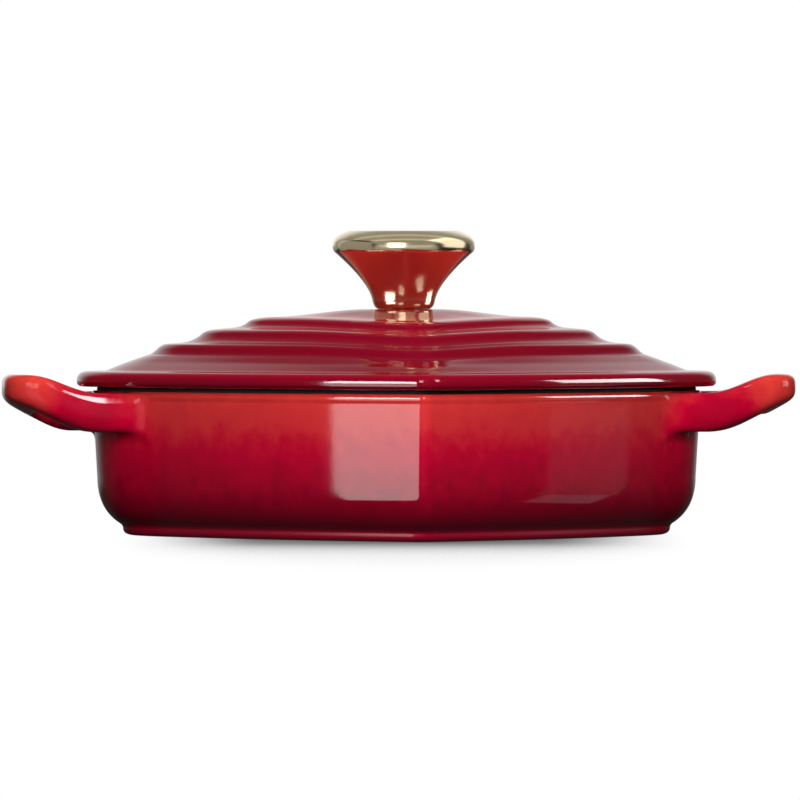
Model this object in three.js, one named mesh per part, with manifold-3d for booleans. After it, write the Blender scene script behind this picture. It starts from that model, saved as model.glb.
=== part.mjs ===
// A shallow heart-shaped casserole in enamelled cast iron: a pot with two cast loop handles, a stepped lid,
// and a turned metal knob held from below by a screw and a washer.
// Millimetres, +Z up. The point of the heart faces -Y, and the handles are on +X and -X.
import * as THREE from 'three';
import { mergeVertices } from 'three/addons/utils/BufferGeometryUtils.js';
import Module from 'manifold-3d';

// Driving dimensions: the heart, at the outside of the pot's wall, with the knob's axis at x = 0, y = 0.
const POT_HALF_WIDTH = 101;
const TIP_REACH = 90;
const TIP_RADIUS = 7;
const TIP_SOFTENING = 0.25;
const FLANK_RADIUS = 300;
const LOBE_RADIUS = 52;
const LOBE_Y = 30;
const CLEFT_RADIUS = 20;
const CORE_INSET = 12;

// Driving dimensions: the pot.
const POT_HEIGHT = 49;
const WALL = 4;
const WALL_DRAFT = 1.5;
const FLOOR = 4.5;
const FLOOR_FILLET = 13;
const FOOT_INSET = 13.5;
const FOOT_FLARE = 3.5;
const FOOT_HEIGHT = 3.2;
const FOOT_WIDTH = 7;
const FOOT_RECESS = 0.8;
const BELLY_TURN = 5.4;
const BELLY_RISE = 16;
const LIP_BULGE = 0.7;
const LIP_HEIGHT = 3;
const LAND_HEIGHT = 1.2;
const LAND_INSET = 1.4;

// Driving dimensions: the handles.
const HANDLE_Y = 22;
const HANDLE_REACH = 30.3;
const HANDLE_ROOT_HALF_SPAN = 27;
const HANDLE_END_HALF_SPAN = 21;
const HANDLE_CORNER = 13;
const HANDLE_BAR = 11;
const HANDLE_ROOT_DROP = 1.5;
const HANDLE_ROOT_DEPTH = 13.1;
const HANDLE_END_RISE = 5.9;
const HANDLE_END_DEPTH = 8;
const HANDLE_TOP_LEVEL = 9;
const HANDLE_TOP_CLIMB = 19;
const HANDLE_BOTTOM_LEVEL = 8;
const HANDLE_BOTTOM_CLIMB = 28;
const HANDLE_BURIED = 40;

// Driving dimensions: the lid, from its edge inwards and upwards.
const LID_OVERHANG = 5.5;
const LID_TIP_RADIUS = 9;
const LID_EDGE = 5.1;
const LID_EDGE_ROUND = 1.8;
const LID_BEAD = 9.5;
const LID_WALL = 4;
const LID_PAD_RADIUS = 11;
const LID_PAD_THICKNESS = 5;
const SKIRT_RISE = 5.5;
const SKIRT_SAG = 0.7;
const OUTER_TIER_INSET = 23.5;
const OUTER_TIER_RUN = 4;
const OUTER_TIER_RISE = 2.9;
const OUTER_TERRACE_RISE = 1;
const MIDDLE_TIER_INSET = 36.5;
const MIDDLE_TIER_RUN = 7;
const MIDDLE_TIER_RISE = 4.3;
const MIDDLE_TERRACE_RISE = 0.7;
const INNER_TIER_INSET = 52.5;
const INNER_TIER_RUN = 7.5;
const INNER_TIER_RISE = 3.3;
const DOME_RISE = 2.9;
const RIB_WIDTH = 3.5;
const RIB_DEPTH = 5;
const RIB_CLEARANCE = 1.2;
const POINT_DIP = 1.5;
const POINT_DIP_REACH = 32;
const POINT_DIP_ROUND = 6;

// Driving dimensions: the knob and its fastener.
const KNOB_HEIGHT = 25.5;
const KNOB_FOOT_RADIUS = 8.2;
const KNOB_NECK_RADIUS = 10.4;
const KNOB_NECK_HEIGHT = 3;
const KNOB_WAIST_FLARE = 1.2;
const KNOB_WAIST_HEIGHT = 8.8;
const KNOB_BRIM_RADIUS = 23.5;
const KNOB_BRIM_DROP = 4.3;
const KNOB_BRIM_ROUND = 2.3;
const KNOB_SHOULDER = 5.5;
const SCREW_RADIUS = 3;
const SCREW_GRIP = 12;
const SCREW_END_ROOM = 3;
const SCREW_HEAD_RADIUS = 5.6;
const SCREW_HEAD_HEIGHT = 3.4;
const SCREW_HEAD_ROUND = 1.2;
const SCREW_SLOT_WIDTH = 1.4;
const SCREW_SLOT_DEPTH = 1.6;
const WASHER_RADIUS = 7.5;
const WASHER_THICKNESS = 1.4;

// Driving dimensions: fits.
const SEAT_GAP = 0.25;
const THREAD_GAP = 0.3;
const BORE_CLEARANCE = 0.5;

// Facets on each half of the heart, along a profile's curves, and around the turned and swept pieces.
const TIP_STEPS = 3;
const FLANK_STEPS = 6;
const LOBE_STEPS = 12;
const CLEFT_STEPS = 3;
const PROFILE_STEPS = 4;
const TURNED_STEPS = 32;
const BAR_STEPS = 32;
const BAR_SIDES = 12;
const BAR_SQUARENESS = 0.6;

const { lerp, smoothstep } = THREE.MathUtils;
const wasm = await Module();
wasm.setup();

// Places that more than one piece takes its size from.
const LOBE_X = POT_HALF_WIDTH - LOBE_RADIUS;
const FLANK_CENTRE = flankCentre();
const MOUTH = POT_HALF_WIDTH - WALL;
const LID_HALF_WIDTH = POT_HALF_WIDTH + LID_OVERHANG;
const LID_BOTTOM = POT_HEIGHT + SEAT_GAP;
const LID_RIM = LID_BOTTOM + LID_EDGE;
const RIB_OUTSIDE = MOUTH - RIB_CLEARANCE;
const RIB_INSIDE = RIB_OUTSIDE - RIB_WIDTH;
const LID_STEPS = lidSteps();
const LID_TOP = LID_STEPS.at(-1).edgeHeight + DOME_RISE;
const LID_PAD_UNDERSIDE = LID_TOP - LID_PAD_THICKNESS;
const KNOB_SEAT = LID_TOP + SEAT_GAP;
const WASHER_TOP = LID_PAD_UNDERSIDE - SEAT_GAP;
const SCREW_HEAD_TOP = WASHER_TOP - WASHER_THICKNESS - SEAT_GAP;
const SCREW_TOP = KNOB_SEAT + SCREW_GRIP;

// The flank arc touches the tip arc and the lobe arc from outside. This is its centre for the +X half.
function flankCentre() {
  const tipCentre = new THREE.Vector2(0, TIP_RADIUS - TIP_REACH);
  const lobeCentre = new THREE.Vector2(LOBE_X, LOBE_Y);
  const fromTip = FLANK_RADIUS - TIP_RADIUS;
  const fromLobe = FLANK_RADIUS - LOBE_RADIUS;
  const across = lobeCentre.sub(tipCentre);
  const distance = across.length();
  const along = (fromTip ** 2 - fromLobe ** 2 + distance ** 2) / (2 * distance);
  const aside = Math.sqrt(fromTip ** 2 - along ** 2);
  const direction = across.normalize();
  const sideways = new THREE.Vector2(-direction.y, direction.x);
  return tipCentre.addScaledVector(direction, along).addScaledVector(sideways, aside);
}

// The foot and the edge of one tier of the lid, as half-widths and heights.
function lidStep(inset, footHeight, run, rise) {
  const foot = LID_HALF_WIDTH - inset;
  return { foot, footHeight, edge: foot - run, edgeHeight: footHeight + rise };
}

// The three tiers of the lid, from the outside in. Each starts where the terrace before it ends.
function lidSteps() {
  const outer = lidStep(OUTER_TIER_INSET, LID_RIM + SKIRT_RISE, OUTER_TIER_RUN, OUTER_TIER_RISE);
  const middleFoot = outer.edgeHeight + OUTER_TERRACE_RISE;
  const middle = lidStep(MIDDLE_TIER_INSET, middleFoot, MIDDLE_TIER_RUN, MIDDLE_TIER_RISE);
  const innerFoot = middle.edgeHeight + MIDDLE_TERRACE_RISE;
  const inner = lidStep(INNER_TIER_INSET, innerFoot, INNER_TIER_RUN, INNER_TIER_RISE);
  return [outer, middle, inner];
}

function arcPoints(centre, radius, from, to, steps) {
  const arc = new THREE.EllipseCurve(centre.x, centre.y, radius, radius, from, to, to < from);
  return arc.getPoints(steps).slice(0, steps);
}

// One closed heart outline, set in evenly from the outside of the pot's wall, from the tip round by +X.
function heartOutline(inset, tipRadius) {
  const flankRadius = FLANK_RADIUS - inset;
  const lobeRadius = LOBE_RADIUS - inset;
  const cleftRadius = CLEFT_RADIUS + inset;
  const tipDrop = Math.sqrt((flankRadius - tipRadius) ** 2 - FLANK_CENTRE.x ** 2);
  const cleftRise = Math.sqrt((lobeRadius + cleftRadius) ** 2 - LOBE_X ** 2);
  const tipCentre = new THREE.Vector2(0, FLANK_CENTRE.y - tipDrop);
  const lobeCentre = new THREE.Vector2(LOBE_X, LOBE_Y);
  const cleftCentre = new THREE.Vector2(0, LOBE_Y + cleftRise);
  const tipAngle = tipCentre.clone().sub(FLANK_CENTRE).angle() - 2 * Math.PI;
  const lobeAngle = lobeCentre.clone().sub(FLANK_CENTRE).angle() - 2 * Math.PI;
  const cleftAngle = cleftCentre.clone().sub(lobeCentre).angle();
  const down = -Math.PI / 2;
  const half = [
    ...arcPoints(tipCentre, tipRadius, down, tipAngle, TIP_STEPS),
    ...arcPoints(FLANK_CENTRE, flankRadius, tipAngle, lobeAngle, FLANK_STEPS),
    ...arcPoints(lobeCentre, lobeRadius, lobeAngle, cleftAngle, LOBE_STEPS),
    ...arcPoints(cleftCentre, cleftRadius, cleftAngle - Math.PI, down, CLEFT_STEPS),
    new THREE.Vector2(0, cleftCentre.y - cleftRadius),
  ];
  const mirrored = half.slice(1, -1).reverse().map((spot) => place(-spot.x, spot.y));
  return [...half, ...mirrored];
}

// The outline with a given half-width. Inside the core outline it shrinks towards the knob's axis.
function heartRing(halfWidth, tipRadius) {
  const width = Math.max(halfWidth, POT_HALF_WIDTH - CORE_INSET);
  const inset = POT_HALF_WIDTH - width;
  const outline = heartOutline(inset, tipRadius + TIP_SOFTENING * Math.max(inset, 0));
  return outline.map((spot) => spot.multiplyScalar(halfWidth / width));
}

// Shares the vertices of a closed geometry, and drops the triangles that this leaves without an area.
function welded(geometry) {
  geometry.deleteAttribute('normal');
  geometry.deleteAttribute('uv');
  const merged = mergeVertices(geometry);
  const corners = [...merged.index.array];
  const kept = [];
  for (let i = 0; i < corners.length; i += 3) {
    const triangle = corners.slice(i, i + 3);
    if (new Set(triangle).size === 3) kept.push(...triangle);
  }
  merged.setIndex(kept);
  return merged;
}

// A lathe whose circle is the heart: a profile point gives a half-width and a height.
function heartLathe(profile, tipRadius, dip) {
  const rings = profile.map((spot) => heartRing(spot.x, tipRadius));
  const segments = rings[0].length;
  const geometry = new THREE.LatheGeometry(profile, segments);
  for (let i = 0; i <= segments; i += 1) {
    profile.forEach((spot, j) => {
      const { x, y } = rings[j][i % segments];
      geometry.attributes.position.setXYZ(i * profile.length + j, x, y, spot.y - dip(spot.x, x, y));
    });
  }
  return welded(geometry);
}

function turned(profile) {
  const geometry = new THREE.LatheGeometry(profile, TURNED_STEPS);
  geometry.rotateX(Math.PI / 2);
  return welded(geometry);
}

function solidOf(geometry) {
  const vertProperties = new Float32Array(geometry.attributes.position.array);
  const triVerts = new Uint32Array(geometry.index.array);
  return new wasm.Manifold(new wasm.Mesh({ numProp: 3, vertProperties, triVerts }));
}

function geometryOf(solid) {
  const { vertProperties, triVerts } = solid.getMesh();
  const geometry = new THREE.BufferGeometry();
  geometry.setAttribute('position', new THREE.BufferAttribute(new Float32Array(vertProperties), 3));
  geometry.setIndex(new THREE.BufferAttribute(new Uint32Array(triVerts), 1));
  geometry.computeVertexNormals();
  return geometry;
}

function place(x, y) {
  return new THREE.Vector2(x, y);
}

const level = () => 0;

// The outside of the pot, from the middle of the base, over the foot and the belly, up to the lip and the
// land that the lid rests on.
function potOutside() {
  const foot = POT_HALF_WIDTH - FOOT_INSET;
  const footTop = foot + FOOT_FLARE;
  const belly = POT_HALF_WIDTH - WALL_DRAFT;
  const recess = foot - FOOT_WIDTH;
  const landBottom = POT_HEIGHT - LAND_HEIGHT;
  const land = POT_HALF_WIDTH - LAND_INSET;
  const lip = POT_HALF_WIDTH + 2 * LIP_BULGE;
  const path = new THREE.Path();
  path.moveTo(0, FOOT_RECESS);
  path.lineTo(recess - FOOT_RECESS, FOOT_RECESS);
  path.lineTo(recess, 0);
  path.lineTo(foot, 0);
  path.quadraticCurveTo(footTop, 0, footTop, FOOT_HEIGHT);
  path.quadraticCurveTo(belly, FOOT_HEIGHT + BELLY_TURN, belly, FOOT_HEIGHT + BELLY_RISE);
  path.lineTo(POT_HALF_WIDTH, landBottom - LIP_HEIGHT);
  path.quadraticCurveTo(lip, landBottom - LIP_HEIGHT / 2, POT_HALF_WIDTH, landBottom);
  path.lineTo(land, landBottom);
  path.lineTo(land, POT_HEIGHT);
  path.lineTo(0, POT_HEIGHT);
  return path.getPoints(PROFILE_STEPS);
}

// The hollow of the pot, from the middle of the floor, round the fillet and out past the rim.
function potHollow() {
  const floorTop = FOOT_RECESS + FLOOR;
  const floorEdge = MOUTH - WALL_DRAFT;
  const path = new THREE.Path();
  path.moveTo(0, floorTop);
  path.lineTo(floorEdge - FLOOR_FILLET, floorTop);
  path.quadraticCurveTo(floorEdge, floorTop, floorEdge, floorTop + FLOOR_FILLET);
  path.lineTo(MOUTH, POT_HEIGHT);
  path.lineTo(MOUTH, 2 * POT_HEIGHT);
  path.lineTo(0, 2 * POT_HEIGHT);
  return path.getPoints(PROFILE_STEPS);
}

// A rounded bar section of unit half-height, with its height along x and its width along y.
function barSection() {
  const corner = (value) => Math.sign(value) * Math.abs(value) ** BAR_SQUARENESS;
  const corners = [];
  for (let i = 0; i < BAR_SIDES; i += 1) {
    const angle = (2 * Math.PI * (i + 0.5)) / BAR_SIDES;
    corners.push(place(corner(Math.cos(angle)), corner(Math.sin(angle)) * (HANDLE_BAR / 2)));
  }
  return new THREE.Shape(corners);
}

// The middle line of a handle in plan: out of the wall, round the end and back. side is 1 on +X and -1 on -X.
function handlePath(side) {
  const end = POT_HALF_WIDTH + HANDLE_REACH - HANDLE_BAR / 2;
  const buried = POT_HALF_WIDTH - HANDLE_BURIED;
  const bend = end - HANDLE_CORNER;
  const root = HANDLE_ROOT_HALF_SPAN;
  const span = HANDLE_END_HALF_SPAN;
  const flat = span - HANDLE_CORNER;
  const spot = (x, y) => new THREE.Vector3(side * x, HANDLE_Y + y, 0);
  const path = new THREE.CurvePath();
  path.add(new THREE.LineCurve3(spot(buried, -root), spot(bend, -span)));
  path.add(new THREE.QuadraticBezierCurve3(spot(bend, -span), spot(end, -span), spot(end, -flat)));
  path.add(new THREE.LineCurve3(spot(end, -flat), spot(end, flat)));
  path.add(new THREE.QuadraticBezierCurve3(spot(end, flat), spot(end, span), spot(bend, span)));
  path.add(new THREE.LineCurve3(spot(bend, span), spot(buried, root)));
  return path;
}

// How far a spot near the +X handle is outside the heart, in plan.
function outsideHeart(x, y) {
  const lobeCentre = place(LOBE_X, LOBE_Y);
  const spot = place(x, y);
  const lobeStart = lobeCentre.clone().sub(FLANK_CENTRE);
  const fromLobe = spot.clone().sub(lobeCentre);
  if (lobeStart.cross(fromLobe) > 0) return fromLobe.length() - LOBE_RADIUS;
  return spot.distanceTo(FLANK_CENTRE) - FLANK_RADIUS;
}

// A handle is swept flat along its plan, and then raised so that it climbs and thins away from the wall.
function handleSolid(side) {
  const path = handlePath(side);
  const geometry = new THREE.ExtrudeGeometry(barSection(), { steps: BAR_STEPS, extrudePath: path });
  const position = geometry.attributes.position;
  const rootTop = POT_HEIGHT - HANDLE_ROOT_DROP;
  const rootBottom = rootTop - HANDLE_ROOT_DEPTH;
  const endTop = rootTop + HANDLE_END_RISE;
  const endBottom = endTop - HANDLE_END_DEPTH;
  const topClimbed = HANDLE_TOP_LEVEL + HANDLE_TOP_CLIMB;
  const bottomClimbed = HANDLE_BOTTOM_LEVEL + HANDLE_BOTTOM_CLIMB;
  for (let i = 0; i < position.count; i += 1) {
    const out = outsideHeart(side * position.getX(i), position.getY(i));
    const top = lerp(rootTop, endTop, smoothstep(out, HANDLE_TOP_LEVEL, topClimbed));
    const bottom = lerp(rootBottom, endBottom, smoothstep(out, HANDLE_BOTTOM_LEVEL, bottomClimbed));
    position.setZ(i, lerp(bottom, top, (position.getZ(i) + 1) / 2));
  }
  return solidOf(welded(geometry));
}

function potGeometry() {
  const outside = solidOf(heartLathe(potOutside(), TIP_RADIUS, level));
  const hollow = solidOf(heartLathe(potHollow(), TIP_RADIUS, level));
  return geometryOf(outside.add(handleSolid(1)).add(handleSolid(-1)).subtract(hollow));
}

// The underside of the lid, from the pad at the screw to the rib that sits in the mouth of the pot.
function lidUnderside() {
  const inner = LID_STEPS.toReversed().map((step) => place(step.foot, step.footHeight - LID_WALL));
  const shell = new THREE.SplineCurve([
    place(LID_PAD_RADIUS, LID_PAD_UNDERSIDE),
    ...inner,
    place(RIB_INSIDE, LID_RIM - LID_WALL),
  ]);
  return [
    place(0, LID_PAD_UNDERSIDE),
    ...shell.getPoints(2 * PROFILE_STEPS),
    place(RIB_INSIDE, LID_BOTTOM - RIB_DEPTH),
    place(RIB_OUTSIDE, LID_BOTTOM - RIB_DEPTH),
  ];
}

// The seat, the rounded edge and the stepped top of the lid, from the rib to the middle.
function lidTop() {
  const path = new THREE.Path();
  const bead = LID_HALF_WIDTH - LID_BEAD;
  const [outer] = LID_STEPS;
  path.moveTo(RIB_OUTSIDE, LID_BOTTOM);
  path.lineTo(LID_HALF_WIDTH - LID_EDGE_ROUND, LID_BOTTOM);
  path.quadraticCurveTo(LID_HALF_WIDTH, LID_BOTTOM, LID_HALF_WIDTH, LID_BOTTOM + LID_EDGE_ROUND);
  path.quadraticCurveTo(LID_HALF_WIDTH, LID_RIM, lerp(LID_HALF_WIDTH, bead, 0.5), LID_RIM);
  path.lineTo(bead, LID_RIM);
  const sagHeight = lerp(LID_RIM, outer.footHeight, 0.5) - 2 * SKIRT_SAG;
  path.quadraticCurveTo(lerp(bead, outer.foot, 0.5), sagHeight, outer.foot, outer.footHeight);
  LID_STEPS.forEach((step) => {
    const middle = (step.foot + step.edge) / 2;
    path.lineTo(step.foot, step.footHeight);
    path.bezierCurveTo(middle, step.footHeight, middle, step.edgeHeight, step.edge, step.edgeHeight);
  });
  const { edge, edgeHeight } = LID_STEPS.at(-1);
  const shoulder = lerp(edge, LID_PAD_RADIUS, 0.35);
  const crown = lerp(edge, LID_PAD_RADIUS, 0.65);
  path.bezierCurveTo(shoulder, edgeHeight, crown, LID_TOP, LID_PAD_RADIUS, LID_TOP);
  path.lineTo(0, LID_TOP);
  return path.getPoints(PROFILE_STEPS);
}

// The tiers dip a little towards the point of the heart, and run level again at the rim and at the knob.
function pointDip(halfWidth, x, y) {
  const offPad = smoothstep(halfWidth, LID_PAD_RADIUS, LID_STEPS.at(-1).edge);
  const offRim = 1 - smoothstep(halfWidth, LID_STEPS[0].edge, RIB_INSIDE);
  const aside = Math.hypot(x, POINT_DIP_ROUND) - POINT_DIP_ROUND;
  const near = Math.max(1 - aside / POINT_DIP_REACH, 0) ** 1.5;
  return POINT_DIP * offPad * offRim * near * smoothstep(-y, 0, LID_PAD_RADIUS);
}

function boreSolid(radius, bottom, top) {
  const cylinder = new THREE.CylinderGeometry(radius, radius, top - bottom, TURNED_STEPS);
  cylinder.rotateX(Math.PI / 2);
  cylinder.translate(0, 0, (bottom + top) / 2);
  return solidOf(welded(cylinder));
}

function lidGeometry() {
  const body = solidOf(heartLathe([...lidUnderside(), ...lidTop()], LID_TIP_RADIUS, pointDip));
  const bore = boreSolid(SCREW_RADIUS + BORE_CLEARANCE, LID_BOTTOM, LID_TOP + LID_PAD_THICKNESS);
  return geometryOf(body.subtract(bore));
}

// The knob, with a blind hole for the screw, from the end of the hole round the outside to the top.
function knobGeometry() {
  const bore = SCREW_RADIUS + THREAD_GAP;
  const boreTop = SCREW_TOP + SCREW_END_ROOM;
  const top = KNOB_SEAT + KNOB_HEIGHT;
  const brim = top - KNOB_BRIM_DROP;
  const flare = KNOB_BRIM_RADIUS - KNOB_BRIM_ROUND / 2;
  const waist = KNOB_NECK_RADIUS + KNOB_WAIST_FLARE;
  const path = new THREE.Path();
  path.moveTo(0, boreTop);
  path.lineTo(bore, boreTop);
  path.lineTo(bore, KNOB_SEAT);
  path.lineTo(KNOB_FOOT_RADIUS, KNOB_SEAT);
  path.quadraticCurveTo(KNOB_NECK_RADIUS, KNOB_SEAT, KNOB_NECK_RADIUS, KNOB_SEAT + KNOB_NECK_HEIGHT);
  path.quadraticCurveTo(waist, KNOB_SEAT + KNOB_WAIST_HEIGHT, flare, brim - KNOB_BRIM_ROUND);
  path.quadraticCurveTo(KNOB_BRIM_RADIUS, brim - KNOB_BRIM_ROUND / 2, KNOB_BRIM_RADIUS, brim);
  path.quadraticCurveTo(KNOB_BRIM_RADIUS, lerp(brim, top, 0.6), KNOB_BRIM_RADIUS - KNOB_SHOULDER, top);
  path.lineTo(0, top);
  return turned(path.getPoints(PROFILE_STEPS));
}

// A slotted pan-head screw, with its head below the lid.
function screwGeometry() {
  const bottom = SCREW_HEAD_TOP - SCREW_HEAD_HEIGHT;
  const path = new THREE.Path();
  path.moveTo(0, bottom);
  path.lineTo(SCREW_HEAD_RADIUS - SCREW_HEAD_ROUND, bottom);
  path.quadraticCurveTo(SCREW_HEAD_RADIUS, bottom, SCREW_HEAD_RADIUS, bottom + SCREW_HEAD_ROUND);
  path.lineTo(SCREW_HEAD_RADIUS, SCREW_HEAD_TOP);
  path.lineTo(SCREW_RADIUS, SCREW_HEAD_TOP);
  path.lineTo(SCREW_RADIUS, SCREW_TOP);
  path.lineTo(0, SCREW_TOP);
  const slot = new THREE.BoxGeometry(4 * SCREW_HEAD_RADIUS, SCREW_SLOT_WIDTH, 2 * SCREW_SLOT_DEPTH);
  slot.translate(0, 0, bottom);
  return geometryOf(solidOf(turned(path.getPoints(PROFILE_STEPS))).subtract(solidOf(welded(slot))));
}

function washerGeometry() {
  const bottom = WASHER_TOP - WASHER_THICKNESS;
  const hole = SCREW_RADIUS + BORE_CLEARANCE;
  const profile = [
    place(hole, bottom),
    place(WASHER_RADIUS, bottom),
    place(WASHER_RADIUS, WASHER_TOP),
    place(hole, WASHER_TOP),
    place(hole, bottom),
  ];
  return turned(profile);
}

const enamel = { color: 0x9c0a1c, roughness: 0.12, metalness: 0 };
const gold = { color: 0xcdb682, roughness: 0.18, metalness: 1 };
const steel = { color: 0xb4b4b0, roughness: 0.35, metalness: 1 };

function piece(name, geometry, finish) {
  const mesh = new THREE.Mesh(geometry, new THREE.MeshStandardMaterial(finish));
  mesh.name = name;
  return mesh;
}

const casserole = new THREE.Group();
casserole.add(piece('pot', potGeometry(), enamel));
casserole.add(piece('lid', lidGeometry(), enamel));
casserole.add(piece('knob', knobGeometry(), gold));
casserole.add(piece('knob_screw', screwGeometry(), steel));
casserole.add(piece('screw_washer', washerGeometry(), steel));

// The origin of the whole is below the middle of its length, so the knob's axis stands a little behind it.
const lidLength = heartRing(LID_HALF_WIDTH, LID_TIP_RADIUS).map((spot) => spot.y);
casserole.position.y = -(Math.min(...lidLength) + Math.max(...lidLength)) / 2;

export default casserole;
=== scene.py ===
import math

import bmesh
import bpy
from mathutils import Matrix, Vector


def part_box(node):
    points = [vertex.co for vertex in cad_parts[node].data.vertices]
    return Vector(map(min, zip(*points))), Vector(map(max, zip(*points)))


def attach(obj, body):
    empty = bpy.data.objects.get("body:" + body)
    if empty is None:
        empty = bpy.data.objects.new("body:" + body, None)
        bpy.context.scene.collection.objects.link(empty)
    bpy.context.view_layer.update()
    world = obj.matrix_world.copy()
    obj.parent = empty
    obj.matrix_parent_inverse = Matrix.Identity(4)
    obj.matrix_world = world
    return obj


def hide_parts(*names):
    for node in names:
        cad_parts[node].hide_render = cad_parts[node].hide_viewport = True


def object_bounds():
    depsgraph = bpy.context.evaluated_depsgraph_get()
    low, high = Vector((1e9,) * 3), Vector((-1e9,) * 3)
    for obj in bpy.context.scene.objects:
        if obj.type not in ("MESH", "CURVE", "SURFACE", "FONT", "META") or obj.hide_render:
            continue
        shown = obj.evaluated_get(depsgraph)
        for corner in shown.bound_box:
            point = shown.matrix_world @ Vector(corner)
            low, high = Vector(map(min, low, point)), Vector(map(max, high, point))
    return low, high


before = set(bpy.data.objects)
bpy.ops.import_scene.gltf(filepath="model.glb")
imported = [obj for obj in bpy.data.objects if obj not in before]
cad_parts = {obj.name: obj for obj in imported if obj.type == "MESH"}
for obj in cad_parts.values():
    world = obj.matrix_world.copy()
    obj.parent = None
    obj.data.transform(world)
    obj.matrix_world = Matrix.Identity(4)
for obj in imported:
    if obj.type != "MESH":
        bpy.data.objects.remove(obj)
cad_low, cad_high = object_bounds()

# Lengths are in millimetres until a mesh or a light is made, and heights are above the floor.
MM = 0.001
knob_low, knob_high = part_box("knob")
lid_low, lid_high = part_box("lid")
AXIS_X = (knob_low.x + knob_high.x) / 2 / MM
AXIS_Y = (knob_low.y + knob_high.y) / 2 / MM

# The heart, at the outside of the pot's wall, with the knob's axis at 0, 0 and the point towards -Y.
POT_HALF_WIDTH = 101
TIP_REACH = 90
TIP_RADIUS = 4.5
TIP_SOFTENING = 0.25
FLANK_RADIUS = 300
LOBE_RADIUS = 52
LOBE_Y = 30
CLEFT_RADIUS = 20
CORE_INSET = 12
LOBE_X = POT_HALF_WIDTH - LOBE_RADIUS

# The pot.
POT_HEIGHT = 49
WALL = 4
WALL_DRAFT = 1.5
FLOOR_TOP = 5.3
FLOOR_FILLET = 13
FOOT_INSET = 13.5
FOOT_FLARE = 3.5
FOOT_HEIGHT = 3.2
FOOT_WIDTH = 7
FOOT_RECESS = 0.8
FOOT_EDGE_DROP = 0.7
FOOT_COVE_WIDTH = 0.9
FOOT_COVE_RISE = 0.6
BELLY_TURN = 5.4
BELLY_RISE = 16
LIP_BULGE = 0.7
LIP_HEIGHT = 3
LIP_CREASE = 0.4
LAND_HEIGHT = 1.2
LAND_INSET = 1.4
EDGE_ROUND = 0.4
MOUTH = POT_HALF_WIDTH - WALL
LIP_TOP = POT_HEIGHT - LAND_HEIGHT
LIP_BOTTOM = LIP_TOP - LIP_HEIGHT

# The handles, which grow out of the wall through a fillet.
HANDLE_Y = 22
HANDLE_END = cad_high.x / MM - AXIS_X
HANDLE_ROOT_HALF_SPAN = 27
HANDLE_END_HALF_SPAN = 21
HANDLE_CORNER = 13
HANDLE_BAR = 11
HANDLE_ROOT_TOP = 47.5
HANDLE_ROOT_BOTTOM = 34.4
HANDLE_END_TOP = 53.4
HANDLE_END_BOTTOM = 45.4
HANDLE_TOP_LEVEL = 9
HANDLE_TOP_CLIMB = 28
HANDLE_BOTTOM_LEVEL = 8
HANDLE_BOTTOM_CLIMB = 36
HANDLE_BURIED = 40
HANDLE_FILLET = 5
BAR_SQUARENESS = 0.6
ROOT_PATCH_BOTTOM = HANDLE_ROOT_BOTTOM - HANDLE_FILLET

# The screw that holds the knob, and the fits of the pieces, as in the CAD model.
SCREW_RADIUS = 3
SEAT_GAP = 0.25
THREAD_GAP = 0.3
BORE_CLEARANCE = 0.5

# The lid, from its edge inwards and upwards. Its edge stays a little inside the CAD model's.
LID_EDGE_MARGIN = 0.02
LID_HALF_WIDTH = (lid_high.x - lid_low.x) / 2 / MM - LID_EDGE_MARGIN
LID_TIP_RADIUS = 8
LID_EDGE = 5.1
LID_BOTTOM = POT_HEIGHT + SEAT_GAP
LID_RIM = LID_BOTTOM + LID_EDGE
LID_EDGE_ROUND = 1.8
LID_BEAD = 8
LID_BEAD_RUNOUT = 1
LID_WALL = 4
LID_PAD_RADIUS = 11
LID_PAD_THICKNESS = 5
LID_TOP = 74.95
LID_PAD_UNDERSIDE = LID_TOP - LID_PAD_THICKNESS
LID_BORE = SCREW_RADIUS + BORE_CLEARANCE
SKIRT_START = (96, 54.75)
SKIRT_SLOPE = 0.34
SKIRT_BULGE = 0.15
STEEP_SLOPE = 1
TIER_SLOPE = 0.07
CROWN_START_SHARE = 0.35
CROWN_END_SHARE = 0.65

# Each step of the lid as a half-width and a height at its foot, on its steep part and at its upper edge.
LID_STEPS = [
    ((82.4, 59.8), (79.9, 61.6), (76.7, 63.35)),
    ((73.4, 63.6), (65.3, 66.7), (60, 68.3)),
    ((56.3, 68.65), (50.4, 70.6), (43.5, 72.3)),
]

# The rib under the lid, which fits in the pot's mouth, and how the tiers dip towards the point.
RIB_CLEARANCE = 1.2
RIB_WIDTH = 3.5
RIB_DEPTH = 5
RIB_OUTSIDE = MOUTH - RIB_CLEARANCE
RIB_INSIDE = RIB_OUTSIDE - RIB_WIDTH
RIB_BOTTOM = LID_BOTTOM - RIB_DEPTH
POINT_DIP = 1.5
POINT_DIP_REACH = 32
POINT_DIP_ROUND = 6
POINT_DIP_POWER = 1.5

# The knob. The shown one sits closer to the lid than the CAD model's.
KNOB_SHOWN_GAP = 0.05
KNOB_SEAT = LID_TOP + KNOB_SHOWN_GAP
KNOB_TOP = knob_high.z / MM
KNOB_FOOT = 8.2
KNOB_NECK = 10.4
KNOB_NECK_RISE = 3
KNOB_NECK_LEAN = 0.2
KNOB_NECK_RUN = 6
KNOB_BRIM = 23.5
KNOB_BRIM_DEPTH = 4.5
KNOB_BRIM_TURN = 1.4
KNOB_FLARE_INSET = 0.5
KNOB_FLARE_DROP = 2.3
KNOB_SHOULDER_SHARE = 0.6
KNOB_TOP_INSET = 5.5
KNOB_BORE = SCREW_RADIUS + THREAD_GAP

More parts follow.
